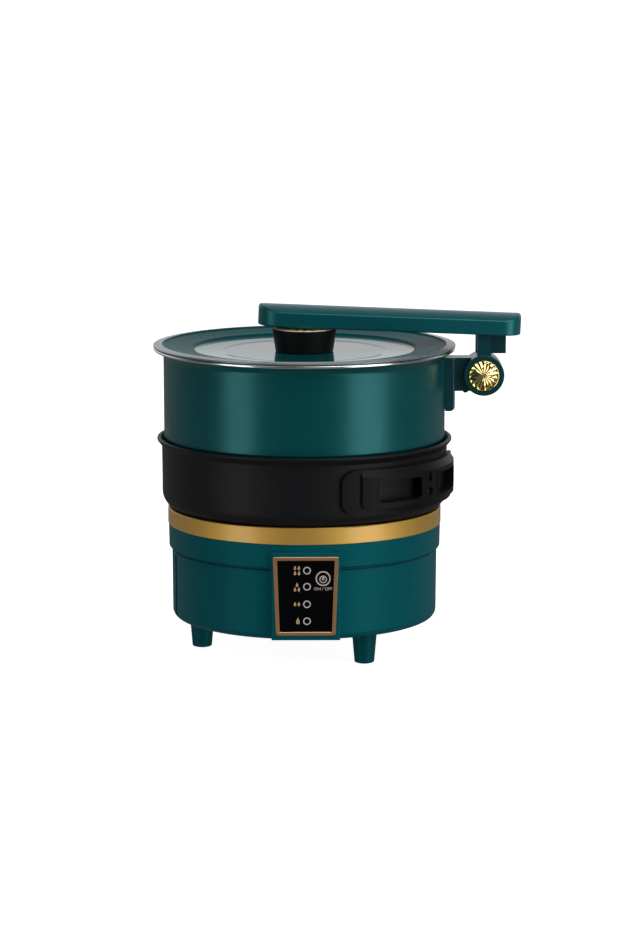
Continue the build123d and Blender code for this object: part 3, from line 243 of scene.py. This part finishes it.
# ---------------------------------------------------------------- materials
TEAL_BASE = srgb(0, 78, 86)
TEAL_POT = srgb(0, 65, 67)
TEAL_LID = srgb(0, 78, 82)
TEAL_HANDLE = srgb(4, 77, 83)
TEAL_HINGE = srgb(2, 54, 60)
TEAL_GLINT = (0.12, 0.92, 1.0, 1)
POT_GLINT = (0.25, 0.95, 1.0, 1)
HINGE_GLINT = (0.6, 0.95, 1, 1)
GOLD = srgb(216, 174, 86)
PANEL_BLACK = srgb(4, 5, 7)
ENAMEL = {"grain": 0.004, "depth": 0.000002}
PANEL_GLASS = {"grain": 0.004, "depth": 0.000004, "spread": 0.03}
INK_FILM = {"grain": 0.0003, "depth": 0.000004}

MATERIALS = {
    "base_teal": moulded("base_teal", TEAL_BASE, 0.46, gloss=0.22, glint=TEAL_GLINT),
    "foot_teal": moulded("foot_teal", shade(TEAL_BASE, 0.7), 0.5, gloss=0.25, glint=TEAL_GLINT),
    "pot_teal": moulded("pot_teal", TEAL_POT, 0.3, gloss=0.7, glint=POT_GLINT, **ENAMEL),
    "handle_teal": moulded("handle_teal", TEAL_HANDLE, 0.34, gloss=0.8, glint=POT_GLINT),
    "gold": metal("gold", GOLD, 0.58, stretch=(1, 1, 8), coat=0.6),
    "sunburst_gold": polished_cap("sunburst_gold", "hinge_caps", srgb(248, 222, 150), 0.06, 0.5),
    "frame_copper": metal("frame_copper", srgb(244, 186, 134), 0.34),
    "rim_steel": metal("rim_steel", srgb(232, 232, 230), 0.18, depth=0.000001, spread=0.02),
    "lid_teal": moulded("lid_teal", TEAL_LID, 0.06, spread=0.02, gloss=0.3, **ENAMEL),
    "pan_dark": stone_coating(),
    "ear_dark": moulded("ear_dark", srgb(20, 20, 21), 0.4, grain=0.0006, gloss=0.08),
    "knob_black": moulded("knob_black", srgb(16, 16, 16), 0.5, grain=0.0005, depth=0.00003, gloss=0.2),
    "deck_black": moulded("deck_black", srgb(20, 20, 21), 0.55),
    "hotplate_grey": metal("hotplate_grey", srgb(90, 90, 92), 0.5),
    "heater_steel": metal("heater_steel", srgb(120, 112, 104), 0.45),
    "shield_steel": metal("shield_steel", srgb(180, 182, 184), 0.35),
    "sensor_steel": metal("sensor_steel", srgb(196, 196, 196), 0.3),
    "spring_steel": metal("spring_steel", srgb(170, 170, 170), 0.3),
    "screw_steel": metal("screw_steel", srgb(178, 178, 180), 0.3),
    "fuse_black": moulded("fuse_black", srgb(30, 30, 30), 0.5),
    "lens_black": moulded("lens_black", PANEL_BLACK, 0.12, gloss=0.08, **PANEL_GLASS),
    "key_black": moulded("key_black", PANEL_BLACK, 0.16, gloss=0.1, **PANEL_GLASS),
    "led_clear": moulded("led_clear", srgb(214, 206, 190), 0.2),
    "board_green": moulded("board_green", srgb(20, 84, 50), 0.45),
    "relay_blue": moulded("relay_blue", srgb(30, 60, 120), 0.4),
    "coil_yellow": moulded("coil_yellow", srgb(190, 150, 60), 0.5),
    "capacitor_black": moulded("capacitor_black", srgb(26, 26, 34), 0.3),
    "inlet_black": moulded("inlet_black", srgb(22, 22, 22), 0.45),
    "pin_metal": metal("pin_metal", srgb(212, 190, 130), 0.25),
    "cover_black": moulded("cover_black", srgb(26, 26, 26), 0.55),
    "pad_rubber": moulded("pad_rubber", srgb(26, 26, 26), 0.8, grain=0.0004, depth=0.00004),
}

# finishes of single pieces, where the photograph shows another one than the slot's
LID_SHOULDER = moulded("lid_shoulder", TEAL_LID, 0.35, spread=0.02, gloss=0.02, **ENAMEL)
LID_EDGE = moulded("lid_edge", srgb(112, 126, 128), 0.26, gloss=0.4, **ENAMEL)
LID_EDGE.set(Metallic=0.4)
HINGE_FINISH = moulded("hinge_teal", TEAL_HINGE, 0.28, gloss=0.6, glint=HINGE_GLINT)
NODE_FINISHES = {
    "hinge_bracket": HINGE_FINISH,
    "handle_fork": HINGE_FINISH,
    # painted highlight: the knob cap's pale cream, barely metallic copy of the cap gold stands for the bright
    # strip of highlight on the fluted cap under the handle
    "knob_cap": metal("cap_painted_highlight", srgb(250, 236, 196), 0.4, depth=0.000002),
}
NODE_FINISHES["knob_cap"].set(Metallic=0.2)
INK = moulded("ink_grey", srgb(196, 184, 176), 0.45, **INK_FILM).material
INK_TAN = moulded("ink_tan", srgb(206, 168, 128), 0.45, **INK_FILM).material

for subpart in frame["record"]["subparts"]:
    finish = NODE_FINISHES.get(subpart["node"]) or MATERIALS[subpart["material_slot"]]
    mesh = nodes[subpart["node"]].data
    mesh.materials.clear()
    mesh.materials.append(finish.material)


def mesh_object(name, vertices, faces, material):
    """A new object of one material."""
    mesh = bpy.data.meshes.new(name)
    mesh.from_pydata(vertices, [], faces)
    mesh.update()
    mesh.materials.append(material)
    made = bpy.data.objects.new(name, mesh)
    scene.collection.objects.link(made)
    return made


# ---------------------------------------------------------------- pressed sheet of the lid, rolled rims
# radii, heights and depths in millimetres
LID_SHEET = 1.2
LID_HOLE = 2.1  # for the knob's screw
LID_MIDDLE = 30.0  # one more ring of points on the flat middle
LID_SPIGOT = 1.7  # radial room that the sheet leaves inside the rim
LID_SATIN = 77.0  # radius outside which the sheet's enamel is satin
LID_STEPS = (  # (start radius, end radius, rise) from the centre outwards; the wall at the rim comes last
    (54.5, 60.5, 0.5),
    (75.0, 80.5, 2.4),
    (80.5, 98.8, 1.7),
    (98.8, 99.7, 0.8),
)
LID_ROLL = 0.5  # radius of the lid's rolled edge
LID_FALL = 0.6  # of its top towards the outside
POT_ROLL = 1.05
POT_RIM_DEPTH = 2.1
TURNS = 256  # faces round a turned piece
STEP_RINGS = 8  # rings of points across a step
ROLL_FACES = 8  # faces round a quarter of a rolled edge
SHARP_DEGREES = 40


def lathe(name, outline, material):
    """A closed mesh of a closed (radius, height) outline in millimetres, turned about the Z axis."""
    vertices, faces = [], []
    count = len(outline)
    for turn in range(TURNS):
        angle = 2 * math.pi * turn / TURNS
        vertices += [(r * MM * math.cos(angle), r * MM * math.sin(angle), z * MM) for r, z in outline]
    for turn in range(TURNS):
        here, there = turn * count, (turn + 1) % TURNS * count
        for k in range(count):
            n = (k + 1) % count
            faces.append((here + k, here + n, there + n, there + k))
    made = mesh_object(name, vertices, faces, material)
    made.data.shade_smooth()
    made.data.set_sharp_from_angle(angle=math.radians(SHARP_DEGREES))
    return made


def eased(value, start, end):
    """0 to 1 between two values, level at both ends."""
    part = min(max((value - start) / (end - start), 0), 1)
    return part * part * (3 - 2 * part)


def lid_sheet():
    """Outline of the lid's sheet: a low middle, a broad disc, a deep step and a sloping shoulder."""
    low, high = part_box("lid_plate")
    edge = high.x / MM
    middle = low.z / MM + LID_SHEET
    radii = [LID_HOLE, LID_MIDDLE]
    for start, end, _ in LID_STEPS:
        radii += [start + (end - start) * k / STEP_RINGS for k in range(STEP_RINGS)]
    radii.append(edge)
    top = [(r, middle + sum(rise * eased(r, a, b) for a, b, rise in LID_STEPS)) for r in radii]
    under = [(r, z - LID_SHEET) for r, z in top if r < edge - LID_SPIGOT]
    return top + [(edge, high.z / MM - LID_SHEET)] + under[::-1]


def rolled_rim(node, inner, round_radius, fall):
    """Outline of a rim, rounded outside; fall is how much its top drops towards the outside."""
    low, high = (corner.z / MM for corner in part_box(node))
    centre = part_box(node)[1].x / MM - round_radius
    outline = [(inner, low)]
    for centre_z, start in ((low + round_radius, -90), (high - fall - round_radius, 0)):
        for step in range(ROLL_FACES + 1):
            a = math.radians(start + step * 90 / ROLL_FACES)
            outline.append((centre + round_radius * math.cos(a), centre_z + round_radius * math.sin(a)))
    return outline + [(inner, high)]


def satin_shoulder(sheet):
    """Gives the outer part of the lid's sheet its second finish."""
    sheet.materials.append(LID_SHOULDER.material)
    for face in sheet.polygons:
        if face.center.xy.length > LID_SATIN * MM:
            face.material_index = 1


lid_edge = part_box("lid_plate")[1].x / MM
pot_rim_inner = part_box("pot_rim")[1].x / MM - POT_RIM_DEPTH
lid_roll = rolled_rim("lid_rim", lid_edge, LID_ROLL, LID_FALL)
pot_roll = rolled_rim("pot_rim", pot_rim_inner, POT_ROLL, 0)
for name, outline, finish, node, body, slot in (
    ("lid_sheet", lid_sheet(), MATERIALS["lid_teal"], "lid_plate", "lid", "lid_teal"),
    ("lid_roll", lid_roll, LID_EDGE, "lid_rim", "lid", "rim_steel"),
    ("pot_roll", pot_roll, MATERIALS["rim_steel"], "pot_rim", "pot", "rim_steel"),
):
    piece = lathe(name, outline, finish.material)
    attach(piece, body)
    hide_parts(node)
satin_shoulder(bpy.data.objects["lid_sheet"].data)


def sensor_coil():
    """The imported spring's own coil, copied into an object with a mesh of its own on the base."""
    packed = nodes["sensor_spring"]
    bpy.context.view_layer.update()
    made = bpy.data.objects.new("sensor_coil", packed.data.copy())
    scene.collection.objects.link(made)
    made.matrix_world = packed.matrix_world
    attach(made, "base")
    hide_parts("sensor_spring")
    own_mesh(made)


sensor_coil()


# ---------------------------------------------------------------- printed marks on the panel
# sizes and places in millimetres, but for the lift and the depth
PRINT_LIFT = 0.03 * MM  # of a print's face in front of its ground
PRINT_DEPTH = 0.02 * MM
LED_RADIUS = 1.5  # of a light guide
LED_DROPS = (0.0, 11.2, 23.4, 35.2)  # how far each of the four marks lies below the top one
LED_RING = (2.65, 1.85)  # outer and inner radius
KEY_RING = (5.15, 4.3)
FLAME = 3.0
LAST_FLAME = 4.6
FLAME_X = (-8.2, -5.5)  # columns, from the marks' rings
FLAME_ROWS = ((1.9, -1.7), (-1.8,), (0.15,))  # heights from the first three marks, both columns filled
TOP_FLAME = (-6.8, 1.4)  # single flame of the second mark: column, height
LOW_FLAME = (-6.2, 0.2)  # single, larger flame of the last mark
FLAME_CORE = 0.3  # height of a flame's open core, of the flame's
CORE_DROP = 0.14  # how far the core's middle lies below the flame's, of the flame's height
GLYPH_DROP, GLYPH_RING = 0.5, (2.6, 2.0)
GLYPH_FLAME, GLYPH_CORE = (0.6, 3.6), (0.1, 1.4)  # height of the middle above the key's, own height
WORDS_DROP, WORDS_WIDTH = 7.2, 12.4
CIRCLE_POINTS = 48
DROP_POINTS = 36
DROP_WIDTH = 0.36  # half a drop's greatest width, of its height
DROP_TAPER, DROP_POWER = 0.85, 1.3  # how much and how late a drop narrows towards its point


def band(outer, inner, y_front, y_back):
    """Vertices and faces of a flat closed band between two outlines of (x, z) points."""
    count = len(outer)
    vertices = []
    for y in (y_front, y_back):
        vertices += [(x, y, z) for x, z in outer]
        vertices += [(x, y, z) for x, z in inner]
    faces = []
    for k in range(count):
        n = (k + 1) % count
        faces.append((k, n, count + n, count + k))
        faces.append((2 * count + n, 2 * count + k, 3 * count + k, 3 * count + n))
        faces.append((n, k, 2 * count + k, 2 * count + n))
        faces.append((count + k, count + n, 3 * count + n, 3 * count + k))
    return vertices, faces


def circle(x, z, radius):
    """A circle's outline."""
    turns = [2 * math.pi * k / CIRCLE_POINTS for k in range(CIRCLE_POINTS)]
    return [(x + radius * math.cos(a), z + radius * math.sin(a)) for a in turns]


def drop(x, z, height):
    """A drop's outline: round below, a point above."""
    points = []
    for k in range(DROP_POINTS):
        a = 2 * math.pi * k / DROP_POINTS
        taper = 1 - DROP_TAPER * ((1 + math.cos(a)) / 2) ** DROP_POWER
        width = DROP_WIDTH * height * math.sin(a) * taper
        points.append((x - width, z + 0.5 * height * math.cos(a)))
    return points


def add_print(name, shapes, y, body, material):
    """One printed piece made of (outer, inner) outline pairs, given in millimetres."""
    vertices, faces = [], []
    for outer, inner in shapes:
        more, quads = band(
            [(px * MM, pz * MM) for px, pz in outer],
            [(px * MM, pz * MM) for px, pz in inner],
            y - PRINT_LIFT,
            y - PRINT_LIFT + PRINT_DEPTH,
        )
        start = len(vertices)
        vertices += more
        faces += [tuple(start + v for v in quad) for quad in quads]
    made = mesh_object(name, vertices, faces, material)
    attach(made, body)


def words(name, text, x, z, width, y, body, material):
    """Flat lettering of that width, in millimetres, facing -Y."""
    curve = bpy.data.curves.new(name, "FONT")
    curve.body = text
    curve.align_x = "CENTER"
    curve.align_y = "CENTER"
    curve.extrude = PRINT_DEPTH / 2
    source = bpy.data.objects.new(name + "_source", curve)
    scene.collection.objects.link(source)
    bpy.context.view_layer.update()
    graph = bpy.context.evaluated_depsgraph_get()
    mesh = bpy.data.meshes.new_from_object(source.evaluated_get(graph))
    bpy.data.objects.remove(source)
    made = bpy.data.objects.new(name, mesh)
    scene.collection.objects.link(made)
    xs = [v.co.x for v in mesh.vertices]
    scale = width * MM / (max(xs) - min(xs))
    mesh.transform(Matrix.Diagonal((scale, scale, 1, 1)))
    turn = Matrix.Rotation(math.pi / 2, 4, "X")
    mesh.transform(Matrix.Translation((x * MM, y - PRINT_LIFT + PRINT_DEPTH / 2, z * MM)) @ turn)
    mesh.materials.clear()
    mesh.materials.append(material)
    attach(made, body)


lens_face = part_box("panel_lens")[0].y
key_low, key_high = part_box("power_key")
key_face = key_low.y
key_x = (key_low.x + key_high.x) / 2 / MM
key_z = (key_low.z + key_high.z) / 2 / MM
led_low, led_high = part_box("indicator_leds")
led_x = (led_low.x + led_high.x) / 2 / MM
led_top = led_high.z / MM - LED_RADIUS

rings = [tuple(circle(led_x, led_top - d, radius) for radius in LED_RING) for d in LED_DROPS]
rings.append(tuple(circle(key_x, key_z, radius) for radius in KEY_RING))
add_print("panel_rings", rings, lens_face, "base", INK)

flames = []
for d, rows in zip(LED_DROPS, FLAME_ROWS):
    flames += [(led_x + dx, led_top - d + dz, FLAME) for dz in rows for dx in FLAME_X]
for (dx, dz), d, size in ((TOP_FLAME, LED_DROPS[1], FLAME), (LOW_FLAME, LED_DROPS[3], LAST_FLAME)):
    flames.append((led_x + dx, led_top - d + dz, size))
drops = [(drop(x, z, h), drop(x, z - CORE_DROP * h, FLAME_CORE * h)) for x, z, h in flames]
add_print("panel_flames", drops, lens_face, "base", INK_TAN)

glyph = [
    tuple(circle(key_x, key_z - GLYPH_DROP, radius) for radius in GLYPH_RING),
    tuple(drop(key_x, key_z + rise, height) for rise, height in (GLYPH_FLAME, GLYPH_CORE)),
]
add_print("key_glyph", glyph, key_face, "key", INK)
words("key_words", "ON / OFF", key_x, key_z - WORDS_DROP, WORDS_WIDTH, lens_face, "base", INK)


# ---------------------------------------------------------------- floor, light, camera
FLOOR_SIZE = 60.0
PAPER_DARK, PAPER_LIGHT = (0.88, 0.88, 0.88, 1), (0.9, 0.9, 0.9, 1)
PAPER_MOTTLE = 0.4
FLOOR_GLOW_NEAR = 0.93  # of the paper under the object, so that only a faint contact shadow is left
FLOOR_GLOW_FAR = 1.0
GLOW_NEAR, GLOW_FAR = 0.09, 0.16  # metres from the object's axis
WHITE = (1, 1, 1, 1)
ROOM_TINT = (0.965, 0.982, 1, 1)
TABLE = 0.16  # radiance of the table in the object's reflections
FRONT = 0.03  # radiance of the studio in front of the object
BACKDROP = 0.92  # radiance of the white wall behind it
CEILING = 0.3  # share of that which is left high up
WALL_TURN = (0.1, 0.7)  # from the dark front to the white wall, along a direction's Y
HORIZON = (-0.06, 0.06)  # from the table to what stands round it, along Z
WALL_FADE = (0.2, 0.8)  # from the wall's bright foot to what is left high up, along Z
LIGHT_AIM = Vector((0, 0, 0.13))
SOFT_BOXES = (  # name, azimuth and elevation in degrees, distance, width, height, radiance
    ("left_box", -54, -4, 1.8, 0.8, 2.4, 1.8),
    ("right_box", 51, -4, 1.8, 1.0, 2.4, 2.25),
    ("top_box", 42, 52, 1.8, 1.4, 1.2, 2.5),
    ("front_top_box", 4, 66, 1.8, 2.6, 0.4, 1.8),
)
CAMERA_DISTANCE = 2.5
CAMERA_ELEVATION = math.radians(9.41)
CAMERA_AZIMUTH = math.radians(-0.67)
CAMERA_RIGHT = 4.3 * MM  # of its aim from the object's axis
CAMERA_HEIGHT = 128.6 * MM
SENSOR_WIDTH = 36.0
FOCAL_LENGTH = 137.12


def ramp(tree, source, low, high):
    """A smooth 0..1 step between two values."""
    made = tree.nodes.new("ShaderNodeMapRange")
    made.interpolation_type = "SMOOTHSTEP"
    made.inputs["From Min"].default_value = low
    made.inputs["From Max"].default_value = high
    tree.links.new(source, made.inputs["Value"])
    return made.outputs["Result"]


def blend(tree, factor, low, high):
    """Mixes two values; each is a number or a socket."""
    made = tree.nodes.new("ShaderNodeMix")
    tree.links.new(factor, made.inputs["Factor"])
    for key, value in (("A", low), ("B", high)):
        if isinstance(value, float):
            made.inputs[key].default_value = value
        else:
            tree.links.new(value, made.inputs[key])
    return made.outputs["Result"]


def floor():
    """White paper that only catches a faint shadow and doesn't show in the object's reflections."""
    half = FLOOR_SIZE / 2
    corners = [(-half, -half, 0), (half, -half, 0), (half, half, 0), (-half, half, 0)]
    finish = Shader("floor_paper")
    tone = finish.noise(PAPER_MOTTLE, detail=2)
    finish.link(finish.tint(tone, [PAPER_DARK, PAPER_LIGHT]), finish.bsdf.inputs["Base Color"])
    finish.set(Roughness=0.9, Specular_IOR_Level=0.0, Emission_Color=WHITE)
    length = finish.node("ShaderNodeVectorMath", operation="LENGTH")
    finish.link(finish.place(), length.inputs[0])
    away = ramp(finish.tree, length.outputs["Value"], GLOW_NEAR, GLOW_FAR)
    glow = blend(finish.tree, away, FLOOR_GLOW_NEAR, FLOOR_GLOW_FAR)
    finish.link(glow, finish.bsdf.inputs["Emission Strength"])
    made = mesh_object("floor", corners, [(0, 1, 2, 3)], finish.material)
    made.visible_diffuse = False
    made.visible_glossy = False
    made.visible_transmission = False
    made.visible_shadow = False


def world():
    """White where the camera sees it; for the object a dim table, a dark front and a white wall behind."""
    made = bpy.data.worlds.new("studio")
    made.use_nodes = True
    tree = made.node_tree
    background = tree.nodes["Background"]
    background.inputs["Color"].default_value = ROOM_TINT
    place = tree.nodes.new("ShaderNodeTexCoord")
    axes = tree.nodes.new("ShaderNodeSeparateXYZ")
    tree.links.new(place.outputs["Generated"], axes.inputs["Vector"])
    behind = ramp(tree, axes.outputs["Y"], *WALL_TURN)
    above = ramp(tree, axes.outputs["Z"], *HORIZON)
    high = ramp(tree, axes.outputs["Z"], *WALL_FADE)
    walls = blend(tree, behind, FRONT, blend(tree, high, BACKDROP, BACKDROP * CEILING))
    tree.links.new(blend(tree, above, TABLE, walls), background.inputs["Strength"])
    white = tree.nodes.new("ShaderNodeBackground")
    white.inputs["Color"].default_value = WHITE
    path = tree.nodes.new("ShaderNodeLightPath")
    mix = tree.nodes.new("ShaderNodeMixShader")
    tree.links.new(path.outputs["Is Camera Ray"], mix.inputs["Fac"])
    tree.links.new(background.outputs["Background"], mix.inputs[1])
    tree.links.new(white.outputs["Background"], mix.inputs[2])
    tree.links.new(mix.outputs["Shader"], tree.nodes["World Output"].inputs["Surface"])
    scene.world = made


def placed(name, data, location, back):
    """A new camera or light at that place, looking against back."""
    made = bpy.data.objects.new(name, data)
    scene.collection.objects.link(made)
    made.location = location
    made.rotation_mode = "QUATERNION"
    made.rotation_quaternion = (-back).to_track_quat("-Z", "Y")
    return made


def camera():
    """At the photograph's place: 2.5 m away, looking down by 9.41 degrees, a little left of the panel."""
    level = math.cos(CAMERA_ELEVATION)
    right = Vector((math.cos(CAMERA_AZIMUTH), math.sin(CAMERA_AZIMUTH), 0))
    sideways, forwards = math.sin(CAMERA_AZIMUTH) * level, math.cos(CAMERA_AZIMUTH) * level
    back = Vector((sideways, -forwards, math.sin(CAMERA_ELEVATION)))
    target = right * CAMERA_RIGHT + Vector((0, 0, CAMERA_HEIGHT))
    data = bpy.data.cameras.new("camera")
    data.sensor_fit = "AUTO"
    data.sensor_width = SENSOR_WIDTH
    data.lens = FOCAL_LENGTH
    data.clip_start = 0.05
    data.clip_end = 100
    scene.camera = placed("camera", data, target + back * CAMERA_DISTANCE, back)


def soft_box(name, azimuth_deg, elevation_deg, distance, width, height, radiance):
    """A soft box that faces the object, at an angle from the camera's side (positive to the right)."""
    azimuth, elevation = math.radians(azimuth_deg), math.radians(elevation_deg)
    level = math.cos(elevation)
    out = Vector((math.sin(azimuth) * level, -math.cos(azimuth) * level, math.sin(elevation)))
    data = bpy.data.lights.new(name, "AREA")
    data.shape = "RECTANGLE"
    data.size, data.size_y = width, height
    data.energy = radiance * math.pi * width * height
    placed(name, data, LIGHT_AIM + out * distance, out)


floor()
world()
camera()
for box in SOFT_BOXES:
    soft_box(*box)
scene.view_settings.view_transform = "Standard"
